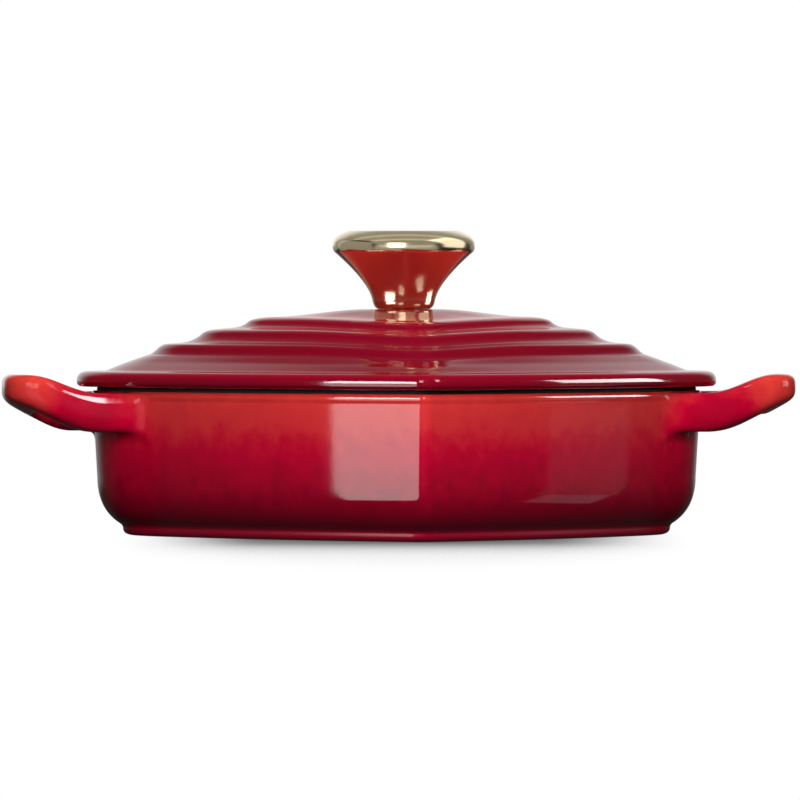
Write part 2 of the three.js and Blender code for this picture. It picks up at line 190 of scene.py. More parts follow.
# The washer under the lid's pad, and the screw's head under the washer.
WASHER_THICKNESS = 1.4
WASHER_BEVEL = 0.2
WASHER_INSIDE = SCREW_RADIUS + BORE_CLEARANCE
WASHER_OUTSIDE = 7.5
WASHER_TOP = LID_PAD_UNDERSIDE - SEAT_GAP
WASHER_BOTTOM = WASHER_TOP - WASHER_THICKNESS
SCREW_GRIP = 12
SCREW_END_ROOM = 3
SCREW_HEAD_HEIGHT = 3.4
SCREW_HEAD_RADIUS = 5.6
SCREW_HEAD_ROUND = 1.2
SCREW_SLOT_WIDTH = 1.4
SCREW_SLOT_DEPTH = 1.6
SCREW_HEAD_TOP = WASHER_BOTTOM - SEAT_GAP
SCREW_HEAD_BOTTOM = SCREW_HEAD_TOP - SCREW_HEAD_HEIGHT
SCREW_TOP = LID_TOP + SEAT_GAP + SCREW_GRIP
KNOB_BORE_TOP = SCREW_TOP + SCREW_END_ROOM

# The smallest ring of the pot's faces and of a turned piece's. Inside it they close to a point.
MIDDLE_RING = 4
TURNED_MIDDLE_RING = 0.5

# Bands of a piece: which of its materials a run of faces has.
OUTSIDE = 0
LAND = 1
INSIDE = 2


def mix(start, end, share):
    return start + (end - start) * share


def smooth(value, low, high):
    """0 up to low, 1 from high on, and a soft rise between them."""
    share = min(max((value - low) / (high - low), 0), 1)
    return share * share * (3 - 2 * share)


def bezier(controls, share):
    points = [Vector(control) for control in controls]
    while len(points) > 1:
        points = [a.lerp(b, share) for a, b in zip(points, points[1:])]
    return points[0]


class Profile:
    """A line of half-widths and heights, and the band of each stretch between two of its points."""

    def __init__(self, width, height):
        self.rows = [Vector((width, height))]
        self.bands = []

    def to(self, *controls, steps=1, band=OUTSIDE):
        """Goes on to the last control point, along a line or a Bezier curve."""
        start = self.rows[-1]
        for step in range(1, steps + 1):
            self.rows.append(bezier([start, *controls], step / steps))
            self.bands.append(band)


# The flank arc touches the tip arc and the lobe arc. This is its centre for the +X half.
def flank_centre():
    tip = Vector((0, TIP_RADIUS - TIP_REACH))
    across = Vector((LOBE_X, LOBE_Y)) - tip
    from_tip = FLANK_RADIUS - TIP_RADIUS
    from_lobe = FLANK_RADIUS - LOBE_RADIUS
    along = (from_tip ** 2 - from_lobe ** 2 + across.length ** 2) / (2 * across.length)
    aside = math.sqrt(from_tip ** 2 - along ** 2)
    direction = across.normalized()
    return tip + direction * along + Vector((-direction.y, direction.x)) * aside


FLANK_CENTRE = flank_centre()
LOBE_ANGLE = math.atan2(LOBE_Y - FLANK_CENTRE.y, LOBE_X - FLANK_CENTRE.x)
CLEFT_CENTRE_Y = LOBE_Y + math.sqrt((LOBE_RADIUS + CLEFT_RADIUS) ** 2 - LOBE_X ** 2)
CLEFT_ANGLE = math.atan2(CLEFT_CENTRE_Y - LOBE_Y, -LOBE_X)


def lobe_share(y):
    """How far along the lobe's arc, on the +X side, the outline passes y."""
    angle = math.asin((y - LOBE_Y) / LOBE_RADIUS)
    return (angle - LOBE_ANGLE) / (CLEFT_ANGLE - LOBE_ANGLE)


# Where a handle's two roots start and end: the first as a share of the flank, the others along Y.
FRONT_ROOT_START = 0.87
FRONT_ROOT_END_Y = 8.5
BACK_ROOT_START_Y = 34.4
BACK_ROOT_END_Y = 54.4
FRONT_ROOT_END = lobe_share(FRONT_ROOT_END_Y)
BACK_ROOT_START = lobe_share(BACK_ROOT_START_Y)
BACK_ROOT_END = lobe_share(BACK_ROOT_END_Y)

# Stretches of the half outline: the arc, the shares of it where the stretch starts and ends, and its steps.
STRETCHES = [
    ("tip", 0, 1, 5),
    ("flank", 0, FRONT_ROOT_START, 32),
    ("flank", FRONT_ROOT_START, 1, 6),
    ("lobe", 0, FRONT_ROOT_END, 2),
    ("lobe", FRONT_ROOT_END, BACK_ROOT_START, 8),
    ("lobe", BACK_ROOT_START, BACK_ROOT_END, 8),
    ("lobe", BACK_ROOT_END, 1, 30),
    ("cleft", 0, 1, 6),
]
STRETCH_STARTS = [sum(stretch[3] for stretch in STRETCHES[:i]) for i in range(len(STRETCHES) + 1)]
COLUMNS = 2 * STRETCH_STARTS[-1]

# The columns of the front root, over the third and fourth stretches, and of the back root, over the sixth.
FRONT_ROOT = (STRETCH_STARTS[2], STRETCH_STARTS[4])
BACK_ROOT = (STRETCH_STARTS[5], STRETCH_STARTS[6])
ROOT_ROWS = 8
ROOT_SIDES = 32
ROOT_FIRST_ANGLE = -135
FILLET_STEPS = 7
BAR_RINGS = 72
CROSSING_HALVINGS = 40


def heart_outline(inset, tip_radius):
    """One closed heart, set in evenly from the outside of the pot's wall, from the tip round by +X."""
    flank_radius = FLANK_RADIUS - inset
    tip_drop = math.sqrt((flank_radius - tip_radius) ** 2 - FLANK_CENTRE.x ** 2)
    tip_y = FLANK_CENTRE.y - tip_drop
    tip_angle = math.atan2(-tip_drop, -FLANK_CENTRE.x)
    down = -math.pi / 2
    arcs = {
        "tip": ((0, tip_y), tip_radius, down, tip_angle),
        "flank": (FLANK_CENTRE, flank_radius, tip_angle, LOBE_ANGLE),
        "lobe": ((LOBE_X, LOBE_Y), LOBE_RADIUS - inset, LOBE_ANGLE, CLEFT_ANGLE),
        "cleft": ((0, CLEFT_CENTRE_Y), CLEFT_RADIUS + inset, CLEFT_ANGLE - math.pi, down),
    }
    half = []
    for arc, start, end, steps in STRETCHES:
        centre, radius, angle_from, angle_to = arcs[arc]
        for step in range(steps):
            angle = mix(angle_from, angle_to, mix(start, end, step / steps))
            half.append((centre[0] + radius * math.cos(angle), centre[1] + radius * math.sin(angle)))
    half.append((0, CLEFT_CENTRE_Y - CLEFT_RADIUS - inset))
    return half + [(-x, y) for x, y in reversed(half[1:-1])]


def heart_ring(half_width, tip_radius):
    """The outline with a given half-width. Inside the core it shrinks towards the knob's axis."""
    width = max(half_width, POT_HALF_WIDTH - CORE_INSET)
    inset = POT_HALF_WIDTH - width
    scale = half_width / width
    outline = heart_outline(inset, tip_radius + TIP_SOFTENING * max(inset, 0))
    return [(x * scale, y * scale) for x, y in outline]


SHARP_DEGREES = 40


class Shell:
    """The points and faces of one piece, about the knob's axis, and the band of each face."""

    def __init__(self):
        self.points = []
        self.faces = []
        self.bands = []

    def add_ring(self, ring):
        first = len(self.points)
        self.points.extend(ring)
        return list(range(first, first + len(ring)))

    def join(self, ring, other, band, skip=()):
        count = len(ring)
        for i in range(count):
            if i not in skip:
                after = (i + 1) % count
                self.faces.append((ring[i], ring[after], other[after], other[i]))
                self.bands.append(band)

    def close(self, ring, point, band):
        centre = self.add_ring([point])[0]
        for i in range(len(ring)):
            self.faces.append((ring[i], ring[(i + 1) % len(ring)], centre))
            self.bands.append(band)

    def made(self, name, materials):
        """The piece as an object with its origin at the frame's, so its texture space is the frame's."""
        mesh = bpy.data.meshes.new(name)
        places = [((AXIS_X + x) * MM, (AXIS_Y + y) * MM, z * MM) for x, y, z in self.points]
        mesh.from_pydata(places, [], self.faces)
        mesh.polygons.foreach_set("material_index", self.bands)
        tidy = bmesh.new()
        tidy.from_mesh(mesh)
        bmesh.ops.recalc_face_normals(tidy, faces=tidy.faces)
        tidy.to_mesh(mesh)
        tidy.free()
        mesh.shade_smooth()
        mesh.set_sharp_from_angle(angle=math.radians(SHARP_DEGREES))
        for material in materials:
            mesh.materials.append(material)
        piece = bpy.data.objects.new(name, mesh)
        bpy.context.scene.collection.objects.link(piece)
        return piece


def stand_for(piece, body, node):
    """Says which body a piece rides on and which CAD node it replaces."""
    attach(piece, body)
    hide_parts(node)


# The pot: outside from the base to the lip, the land that carries the lid, and the inside to the floor.
def pot_profile():
    foot = POT_HALF_WIDTH - FOOT_INSET
    foot_top = foot + FOOT_FLARE
    belly = POT_HALF_WIDTH - WALL_DRAFT
    belly_top = FOOT_HEIGHT + BELLY_RISE
    recess = foot - FOOT_WIDTH
    land = POT_HALF_WIDTH - LAND_INSET
    patch = mix(belly, POT_HALF_WIDTH, (ROOT_PATCH_BOTTOM - belly_top) / (LIP_BOTTOM - belly_top))
    floor_edge = MOUTH - WALL_DRAFT
    profile = Profile(MIDDLE_RING, FOOT_RECESS)
    profile.to((recess - FOOT_RECESS, FOOT_RECESS), steps=6)
    profile.to((recess, 0), steps=2)
    profile.to((foot, 0), steps=3)
    profile.to((foot_top, 0), (foot_top, FOOT_HEIGHT - FOOT_EDGE_DROP), steps=8)
    cove_end = (foot_top + FOOT_COVE_WIDTH, FOOT_HEIGHT + FOOT_COVE_RISE)
    profile.to((foot_top, FOOT_HEIGHT), cove_end, steps=4)
    profile.to((belly, FOOT_HEIGHT + BELLY_TURN), (belly, belly_top), steps=16)
    profile.to((patch, ROOT_PATCH_BOTTOM), steps=4)
    root_row = len(profile.rows) - 1
    profile.to((POT_HALF_WIDTH, LIP_BOTTOM - LIP_CREASE), steps=ROOT_ROWS // 2 - 1)
    profile.to((POT_HALF_WIDTH, LIP_BOTTOM))
    lip = POT_HALF_WIDTH + 2 * LIP_BULGE
    profile.to((lip, LIP_BOTTOM + LIP_HEIGHT / 2), (POT_HALF_WIDTH, LIP_TOP), steps=ROOT_ROWS // 2)
    profile.to((land, LIP_TOP), steps=2, band=LAND)
    profile.to((land, POT_HEIGHT - EDGE_ROUND), steps=2, band=LAND)
    profile.to((land, POT_HEIGHT), (land - EDGE_ROUND, POT_HEIGHT), steps=3, band=LAND)
    profile.to((MOUTH + EDGE_ROUND, POT_HEIGHT), steps=2, band=LAND)
    profile.to((MOUTH, POT_HEIGHT), (MOUTH, POT_HEIGHT - EDGE_ROUND), steps=3, band=LAND)
    profile.to((floor_edge, FLOOR_TOP + FLOOR_FILLET), steps=8, band=INSIDE)
    bend = (floor_edge - FLOOR_FILLET, FLOOR_TOP)
    profile.to((floor_edge, FLOOR_TOP), bend, steps=12, band=INSIDE)
    profile.to((MIDDLE_RING, FLOOR_TOP), steps=8, band=INSIDE)
    return profile, root_row


def handle_path():
    """A handle's middle line in plan, from the front root round the end to the back root, closely spaced."""
    end = HANDLE_END - HANDLE_BAR / 2
    buried = POT_HALF_WIDTH - HANDLE_BURIED
    bend = end - HANDLE_CORNER
    root = HANDLE_ROOT_HALF_SPAN
    span = HANDLE_END_HALF_SPAN
    flat = span - HANDLE_CORNER
    line = Profile(buried, HANDLE_Y - root)
    line.to((bend, HANDLE_Y - span), steps=60)
    line.to((end, HANDLE_Y - span), (end, HANDLE_Y - flat), steps=60)
    line.to((end, HANDLE_Y + flat), steps=30)
    line.to((end, HANDLE_Y + span), (bend, HANDLE_Y + span), steps=60)
    line.to((buried, HANDLE_Y + root), steps=60)
    return line.rows


class Bar:
    """A handle's bar: where the line with a given section angle is, at a distance along the path."""

    def __init__(self):
        self.path = handle_path()
        self.at = [0]
        for a, b in zip(self.path, self.path[1:]):
            self.at.append(self.at[-1] + (b - a).length)
        self.length = self.at[-1]

    def point(self, angle, distance):
        i = max(j for j in range(len(self.at) - 1) if self.at[j] <= distance or j == 0)
        step = self.path[i + 1] - self.path[i]
        share = (distance - self.at[i]) / step.length
        middle = self.path[i] + step * share
        tangent = self.tangent(i, share)
        wide = math.copysign(abs(math.cos(angle)) ** BAR_SQUARENESS, math.cos(angle)) * HANDLE_BAR / 2
        high = math.copysign(abs(math.sin(angle)) ** BAR_SQUARENESS, math.sin(angle))
        x = middle.x - tangent.y * wide
        y = middle.y + tangent.x * wide
        out = outside_heart(x, y)
        top = mix(HANDLE_ROOT_TOP, HANDLE_END_TOP, smooth(out, HANDLE_TOP_LEVEL, HANDLE_TOP_CLIMB))
        climb = smooth(out, HANDLE_BOTTOM_LEVEL, HANDLE_BOTTOM_CLIMB)
        bottom = mix(HANDLE_ROOT_BOTTOM, HANDLE_END_BOTTOM, climb)
        return Vector((x, y, mix(bottom, top, (high + 1) / 2)))

    def tangent(self, i, share):
        """The path's direction at a share of its step i, turned evenly from one step to the next."""
        before = self.path[i + 1] - self.path[max(i - 1, 0)]
        after = self.path[min(i + 2, len(self.path) - 1)] - self.path[i]
        return before.normalized().lerp(after.normalized(), share).normalized()

    def wall_crossing(self, angle, inner, outer):
        """The distance along the path where the line comes out of the pot's wall."""
        for _ in range(CROSSING_HALVINGS):
            middle = (inner + outer) / 2
            if above_wall(self.point(angle, middle)) < 0:
                inner = middle
            else:
                outer = middle
        return (inner + outer) / 2


def outside_heart(x, y):
    """How far a spot near the +X handle is outside the heart, in plan."""
    from_lobe = Vector((x - LOBE_X, y - LOBE_Y))
    if math.atan2(from_lobe.y, from_lobe.x) > LOBE_ANGLE:
        return from_lobe.length - LOBE_RADIUS
    return (Vector((x, y)) - FLANK_CENTRE).length - FLANK_RADIUS


def above_wall(point):
    """How far a point near the +X handle is outside the pot's wall, which leans out to the lip."""
    lean = min((point.z - LIP_BOTTOM) / (LIP_BOTTOM - FOOT_HEIGHT - BELLY_RISE), 0) * WALL_DRAFT
    return outside_heart(point.x, point.y) - lean


def root_edge(root, root_row, swap):
    """The rows and columns round a root's patch of wall, with the columns reversed where swap is true."""
    left, right = (root[1], root[0]) if swap else root
    sign = -1 if swap else 1
    top_row = root_row + ROOT_ROWS
    across = ROOT_SIDES // 4
    edge = [(root_row, left + sign * i) for i in range(across)]
    edge += [(root_row + i, right) for i in range(ROOT_ROWS)]
    edge += [(top_row, right - sign * i) for i in range(across)]
    edge += [(top_row - i, left) for i in range(ROOT_ROWS)]
    return edge


def section_angle(i):
    """The angle round the bar of the line that meets spot i of a root's edge."""
    return math.radians(ROOT_FIRST_ANGLE + 360 * i / ROOT_SIDES)


def add_handle(shell, rings, root_row, side, bar):
    """One handle, joined to the wall at both roots. side is 1 on +X and -1 on -X."""
    def wall_spot(row, column):
        return rings[row][column if side > 0 else (COLUMNS - column) % COLUMNS]

    front = [wall_spot(*spot) for spot in root_edge(FRONT_ROOT, root_row, False)]
    back = [wall_spot(*spot) for spot in root_edge(BACK_ROOT, root_row, True)]
    middle = bar.length / 2
    angles = [section_angle(i) for i in range(ROOT_SIDES)]
    starts = [bar.wall_crossing(angle, 0, middle) for angle in angles]
    ends = [bar.wall_crossing(angle, bar.length, middle) for angle in angles]

    def flipped(point):
        return Vector((side * point[0], point[1], point[2]))

    def fillet(edge, crossings, outward, share):
        ring = []
        for spot, angle, place in zip(edge, angles, crossings):
            wall = flipped(shell.points[spot])
            corner = bar.point(angle, place)
            free = bar.point(angle, place + outward * HANDLE_FILLET)
            ring.append(flipped(bezier([wall, corner, free], share)))
        return ring

    def bar_ring(share):
        ring = []
        for angle, start, end in zip(angles, starts, ends):
            place = mix(start + HANDLE_FILLET, end - HANDLE_FILLET, share)
            ring.append(flipped(bar.point(angle, place)))
        return ring

    chain = [front]
    for step in range(1, FILLET_STEPS):
        chain.append(shell.add_ring(fillet(front, starts, 1, step / FILLET_STEPS)))
    for step in range(BAR_RINGS + 1):
        chain.append(shell.add_ring(bar_ring(step / BAR_RINGS)))
    for step in range(FILLET_STEPS - 1, 0, -1):
        chain.append(shell.add_ring(fillet(back, ends, -1, step / FILLET_STEPS)))
    chain.append(back)
    for ring, other in zip(chain, chain[1:]):
        shell.join(ring, other, OUTSIDE)


def root_columns():
    """The columns of faces that are left out of the wall where the handles grow from it."""
    columns = set()
    for start, end in (FRONT_ROOT, BACK_ROOT):
        columns.update(range(start, end))
        columns.update(range(COLUMNS - end, COLUMNS - start))
    return columns


def make_pot(materials):
    profile, root_row = pot_profile()
    shell = Shell()
    rings = []
    for width, height in profile.rows:
        ring = [(x, y, height) for x, y in heart_ring(width, TIP_RADIUS)]
        rings.append(shell.add_ring(ring))
    shell.close(rings[0], (0, 0, FOOT_RECESS), OUTSIDE)
    for row, band in enumerate(profile.bands):
        in_root = root_row <= row < root_row + ROOT_ROWS
        shell.join(rings[row], rings[row + 1], band, root_columns() if in_root else ())
    shell.close(rings[-1], (0, 0, FLOOR_TOP), INSIDE)
    bar = Bar()
    add_handle(shell, rings, root_row, 1, bar)
    add_handle(shell, rings, root_row, -1, bar)
    piece = shell.made("pot_casting", materials)
    stand_for(piece, "pot", "pot")
    return piece


# A smooth line's control points lie off its points by this share of the way between their neighbours.
SPLINE_SHARE = 1 / 6


def spline(points, steps):
    """Points along a smooth line through the given ones, after the first."""
    line = []
    for i in range(len(points) - 1):
        before = Vector(points[max(i - 1, 0)])
        start = Vector(points[i])
        end = Vector(points[i + 1])
        after = Vector(points[min(i + 2, len(points) - 1)])
        for step in range(1, steps + 1):
            leaving = start + (end - before) * SPLINE_SHARE
            arriving = end - (after - start) * SPLINE_SHARE
            line.append(bezier([start, leaving, arriving, end], step / steps))
    return line


def crossing(spot, slope, other, other_slope):
    """Where two lines meet, each given by a spot on it and how fast it rises towards the knob."""
    height = spot[1] + slope * spot[0]
    other_height = other[1] + other_slope * other[0]
    width = (height - other_height) / (slope - other_slope)
    return (width, height - slope * width)


# The lid: its underside from the pad at the screw to the rib, the black seat, the edge and the stepped top.
def lid_profile():
    profile = Profile(LID_PAD_RADIUS, LID_PAD_UNDERSIDE)
    inner = [(foot[0], foot[1] - LID_WALL) for foot, _, _ in reversed(LID_STEPS)]
    underside = [(LID_PAD_RADIUS, LID_PAD_UNDERSIDE), *inner, (RIB_INSIDE, LID_RIM - LID_WALL)]
    for spot in spline(underside, 10):
        profile.to(spot, band=INSIDE)
    profile.to((RIB_INSIDE, RIB_BOTTOM + EDGE_ROUND), steps=3, band=INSIDE)
    profile.to((RIB_INSIDE, RIB_BOTTOM), (RIB_INSIDE + EDGE_ROUND, RIB_BOTTOM), steps=3, band=INSIDE)
    profile.to((RIB_OUTSIDE - EDGE_ROUND, RIB_BOTTOM), steps=2, band=INSIDE)
    profile.to((RIB_OUTSIDE, RIB_BOTTOM), (RIB_OUTSIDE, RIB_BOTTOM + EDGE_ROUND), steps=3, band=INSIDE)
    profile.to((RIB_OUTSIDE, LID_BOTTOM), steps=3, band=INSIDE)
    profile.to((LID_HALF_WIDTH - LID_EDGE_ROUND, LID_BOTTOM), steps=3, band=LAND)
    bead = LID_HALF_WIDTH - LID_BEAD
    low_edge = (LID_HALF_WIDTH, LID_BOTTOM + LID_EDGE_ROUND)
    profile.to((LID_HALF_WIDTH, LID_BOTTOM), low_edge, steps=8)
    profile.to((LID_HALF_WIDTH, LID_RIM), (mix(LID_HALF_WIDTH, bead, 0.5), LID_RIM), steps=12)
    profile.to((bead, LID_RIM), steps=3)
    profile.to((bead - LID_BEAD_RUNOUT, LID_RIM), SKIRT_START, steps=5)
    skirt_end = Vector(LID_STEPS[0][0])
    skirt_middle = mix(Vector(SKIRT_START), skirt_end, 0.5) + Vector((0, 2 * SKIRT_BULGE))
    profile.to(skirt_middle, skirt_end, steps=10)
    slope = SKIRT_SLOPE
    for foot, steep, edge in LID_STEPS:
        if profile.rows[-1].x > foot[0]:
            profile.to(foot, steps=8)
        profile.to(crossing(foot, slope, steep, STEEP_SLOPE), steep, steps=12)
        slope = TIER_SLOPE
        profile.to(crossing(steep, STEEP_SLOPE, edge, slope), edge, steps=12)
    edge_width, edge_height = edge
    shoulder = mix(edge_width, LID_PAD_RADIUS, CROWN_START_SHARE)
    crown = mix(edge_width, LID_PAD_RADIUS, CROWN_END_SHARE)
    profile.to((shoulder, edge_height), (crown, LID_TOP), (LID_PAD_RADIUS, LID_TOP), steps=14)
    return profile


def point_dip(half_width, x, y):
    """The tiers dip a little towards the point of the heart, and run level again at the rim and the knob."""
    outer_edge = LID_STEPS[0][2][0]
    inner_edge = LID_STEPS[-1][2][0]
    off_pad = smooth(half_width, LID_PAD_RADIUS, inner_edge)
    off_rim = 1 - smooth(half_width, outer_edge, RIB_INSIDE)
    aside = math.hypot(x, POINT_DIP_ROUND) - POINT_DIP_ROUND
    near = max(1 - aside / POINT_DIP_REACH, 0) ** POINT_DIP_POWER
    return POINT_DIP * off_pad * off_rim * near * smooth(-y, 0, LID_PAD_RADIUS)


def make_lid(materials):
    profile = lid_profile()
    shell = Shell()
    rings = []
    for width, height in profile.rows:
        outline = heart_ring(width, LID_TIP_RADIUS)
        rings.append(shell.add_ring([(x, y, height - point_dip(width, x, y)) for x, y in outline]))
    for row, band in enumerate(profile.bands):
        shell.join(rings[row], rings[row + 1], band)
    pad = heart_ring(LID_PAD_RADIUS, LID_TIP_RADIUS)
    bore = [Vector(spot).normalized() * LID_BORE for spot in pad]
    low_bore = shell.add_ring([(x, y, LID_PAD_UNDERSIDE) for x, y in bore])
    high_bore = shell.add_ring([(x, y, LID_TOP) for x, y in bore])
    shell.join(low_bore, rings[0], INSIDE)
    shell.join(high_bore, low_bore, INSIDE)
    shell.join(rings[-1], high_bore, OUTSIDE)
    piece = shell.made("lid_casting", materials)
    stand_for(piece, "lid", "lid")
    return piece


TURNED_COLUMNS = 128


def turned(profile, name, materials, looped):
    """A piece turned about the knob's axis. A looped profile ends where it starts, others on the axis."""
    shell = Shell()
    rings = []
    turn = [2 * math.pi * i / TURNED_COLUMNS for i in range(TURNED_COLUMNS)]
    for radius, height in profile.rows:
        rings.append(shell.add_ring([(radius * math.cos(a), radius * math.sin(a), height) for a in turn]))
    for row, band in enumerate(profile.bands):
        shell.join(rings[row], rings[row + 1], band)
    if looped:
        shell.join(rings[-1], rings[0], OUTSIDE)
    else:
        shell.close(rings[0], (0, 0, profile.rows[0].y), OUTSIDE)
        shell.close(rings[-1], (0, 0, profile.rows[-1].y), OUTSIDE)
    return shell.made(name, materials)


# The knob, from the end of its blind hole round the outside to the top.
def make_knob(materials):
    brim = KNOB_TOP - KNOB_BRIM_DEPTH
    flare_end = (KNOB_BRIM - KNOB_FLARE_INSET, brim - KNOB_FLARE_DROP)
    profile = Profile(TURNED_MIDDLE_RING, KNOB_BORE_TOP)
    profile.to((KNOB_BORE, KNOB_BORE_TOP), steps=2)
    profile.to((KNOB_BORE, KNOB_SEAT), steps=3)
    profile.to((KNOB_FOOT, KNOB_SEAT), steps=3)
    neck = Vector((KNOB_NECK, KNOB_SEAT + KNOB_NECK_RISE))
    profile.to((neck.x - KNOB_NECK_RISE * KNOB_NECK_LEAN, KNOB_SEAT), neck, steps=10)
    waist = (neck.x + KNOB_NECK_RUN * KNOB_NECK_LEAN, neck.y + KNOB_NECK_RUN)
    profile.to(waist, flare_end, steps=24)
    profile.to((KNOB_BRIM, brim - KNOB_BRIM_TURN), (KNOB_BRIM, brim), steps=10)
    shoulder = mix(brim, KNOB_TOP, KNOB_SHOULDER_SHARE)
    profile.to((KNOB_BRIM, shoulder), (KNOB_BRIM - KNOB_TOP_INSET, KNOB_TOP), steps=14)
    profile.to((TURNED_MIDDLE_RING, KNOB_TOP), steps=6)
    piece = turned(profile, "turned_knob", materials, False)
    stand_for(piece, "lid", "knob")
    return piece


def cut_slot(piece):
    """Cuts the driver's slot across the screw's head, with a long block that is half below the head."""
    bpy.ops.mesh.primitive_cube_add(size=1)
    cutter = bpy.context.object
    cutter.location = (AXIS_X * MM, AXIS_Y * MM, SCREW_HEAD_BOTTOM * MM)
    cutter.scale = (4 * SCREW_HEAD_RADIUS * MM, SCREW_SLOT_WIDTH * MM, 2 * SCREW_SLOT_DEPTH * MM)
    cut = piece.modifiers.new("slot", "BOOLEAN")
    cut.operation = "DIFFERENCE"
    cut.solver = "EXACT"
    cut.object = cutter
    shown = piece.evaluated_get(bpy.context.evaluated_depsgraph_get())
    mesh = bpy.data.meshes.new_from_object(shown)
    piece.modifiers.clear()
    piece.data = mesh
    bpy.data.objects.remove(cutter)


def make_screw(materials):
    profile = Profile(TURNED_MIDDLE_RING, SCREW_HEAD_BOTTOM)
    profile.to((SCREW_HEAD_RADIUS - SCREW_HEAD_ROUND, SCREW_HEAD_BOTTOM), steps=3)
    low_edge = (SCREW_HEAD_RADIUS, SCREW_HEAD_BOTTOM)
    profile.to(low_edge, (SCREW_HEAD_RADIUS, SCREW_HEAD_BOTTOM + SCREW_HEAD_ROUND), steps=6)
    profile.to((SCREW_HEAD_RADIUS, SCREW_HEAD_TOP), steps=2)
    profile.to((SCREW_RADIUS, SCREW_HEAD_TOP), steps=2)
    profile.to((SCREW_RADIUS, SCREW_TOP), steps=6)
    profile.to((TURNED_MIDDLE_RING, SCREW_TOP), steps=2)
    piece = turned(profile, "slotted_screw", materials, False)
    cut_slot(piece)
    stand_for(piece, "lid", "knob_screw")
    return piece


def make_washer(materials):
    profile = Profile(WASHER_INSIDE, WASHER_BOTTOM)
    profile.to((WASHER_OUTSIDE - WASHER_BEVEL, WASHER_BOTTOM), steps=3)
    profile.to((WASHER_OUTSIDE, WASHER_BOTTOM + WASHER_BEVEL))
    profile.to((WASHER_OUTSIDE, WASHER_TOP - WASHER_BEVEL))
    profile.to((WASHER_OUTSIDE - WASHER_BEVEL, WASHER_TOP))
    profile.to((WASHER_INSIDE, WASHER_TOP), steps=3)
    piece = turned(profile, "flat_washer", materials, True)
    stand_for(piece, "lid", "screw_washer")
    return piece


class Nodes:
    """Short ways to add nodes to a node tree."""

    def __init__(self, tree):
        self.tree = tree

    def add(self, kind, sockets=None, **settings):
        made = self.tree.nodes.new(kind)
        for key, value in settings.items():
            setattr(made, key, value)
        for key, value in (sockets or {}).items():
            self.put(made.inputs[key], value)
        return made

    def put(self, socket, value):
        if isinstance(value, bpy.types.NodeSocket):
            self.tree.links.new(value, socket)
        else:
            socket.default_value = value

    def math(self, operation, first, second=0):
        return self.add("ShaderNodeMath", {0: first, 1: second}, operation=operation).outputs[0]

    def smooth(self, value, low, high):
        sockets = {"Value": value, "From Min": low, "From Max": high}
        return self.add("ShaderNodeMapRange", sockets, interpolation_type="SMOOTHSTEP").outputs[0]

    def mix_colours(self, share, first, second):
        """The colour mix node's own inputs 6 and 7 are its two colours, and its output 2 is the result."""
        sockets = {"Factor": share, 6: first, 7: second}
        return self.add("ShaderNodeMix", sockets, data_type="RGBA").outputs[2]

    def split(self, vector):
        return self.add("ShaderNodeSeparateXYZ", {0: vector}).outputs

    def ramp(self, value, stops):
        """A colour ramp. A stop is a position and a colour, or a position and one grey level."""
        made = self.add("ShaderNodeValToRGB", {0: value})
        points = made.color_ramp.elements
        while len(points) < len(stops):
            points.new(0.5)
        for point, (position, colour) in zip(points, stops):
            point.position = position
            point.color = (*colour, 1) if isinstance(colour, tuple) else (colour, colour, colour, 1)
        return made.outputs[0]


# Materials. Every look is laid over the frame's own space, so it rides with its piece.
class Look(Nodes):
    """A material, with its shader and its place in the frame."""

    def __init__(self, name):
        self.material = bpy.data.materials.new(name)
        self.material.use_nodes = True
        super().__init__(self.material.node_tree)
        self.shader = self.tree.nodes["Principled BSDF"]
        coordinates = self.add("ShaderNodeTexCoord").outputs
        self.place = coordinates["Object"]
        self.facing = coordinates["Normal"]

    def noise(self, size, detail, roughness=0.5):
        scale = 1 / (size * MM)
        sockets = {"Vector": self.place, "Scale": scale, "Detail": detail, "Roughness": roughness}
        return self.add("ShaderNodeTexNoise", sockets).outputs[0]

    def bump(self, value, depth):
        sockets = {"Height": value, "Distance": depth * MM, "Strength": 1}
        self.put(self.shader.inputs["Normal"], self.add("ShaderNodeBump", sockets).outputs[0])

    def set(self, **values):
        """Fills the shader's sockets. An underscore stands for a space in a socket's name."""
        for key, value in values.items():
            self.put(self.shader.inputs[key.replace("_", " ")], value)


ENAMEL_IOR = 1.5
ENAMEL_ROUGHNESS = 0.07
PEEL_SIZE = 1.2
PEEL_DETAIL = 3

# The pot's red by height, from the foot to where the colour is lightest, with clouds above the foot. Its
# darkest band, on the belly's underside just above the foot, is painted shade.
LIGHTEST_HEIGHT = 54
POT_CLOUD_DRIFT = 18
POT_CLOUD_START = 5
POT_CLOUD_FULL = 16
POT_RED_AND_SHADE_STOPS = [
    (0.0, (0.24, 0.0005, 0.016)),
    (0.05, (0.2, 0.0005, 0.013)),
    # Painted shade: the darkest red, on the belly's underside just above the foot.
    (0.09, (0.1, 0.0005, 0.007)),
    (0.35, (0.28, 0.0005, 0.015)),
    (0.53, (0.4, 0.0005, 0.021)),
    (0.61, (0.46, 0.007, 0.022)),
    (0.69, (0.5, 0.02, 0.026)),
    (0.83, (0.56, 0.028, 0.028)),
    (1.0, (0.64, 0.045, 0.03)),
]
ROUGH_FOOT_SCALE = 10
ROUGH_FOOT_STOPS = [(0.35, 0.3), (0.5, ENAMEL_ROUGHNESS)]

# From the middle of the pot out to a handle's end: how much darker the arms are, and the gloss's strength.
ARM_STOPS = [(0.63, 0.0), (0.7, 0.2), (0.76, 0.3), (0.86, 0.28), (0.92, 0.0)]
GLOSS_STOPS = [(0.59, 0.5), (0.64, 0.05), (0.71, 0.05), (0.75, 0.5), (0.82, 0.5), (0.88, 0.05)]


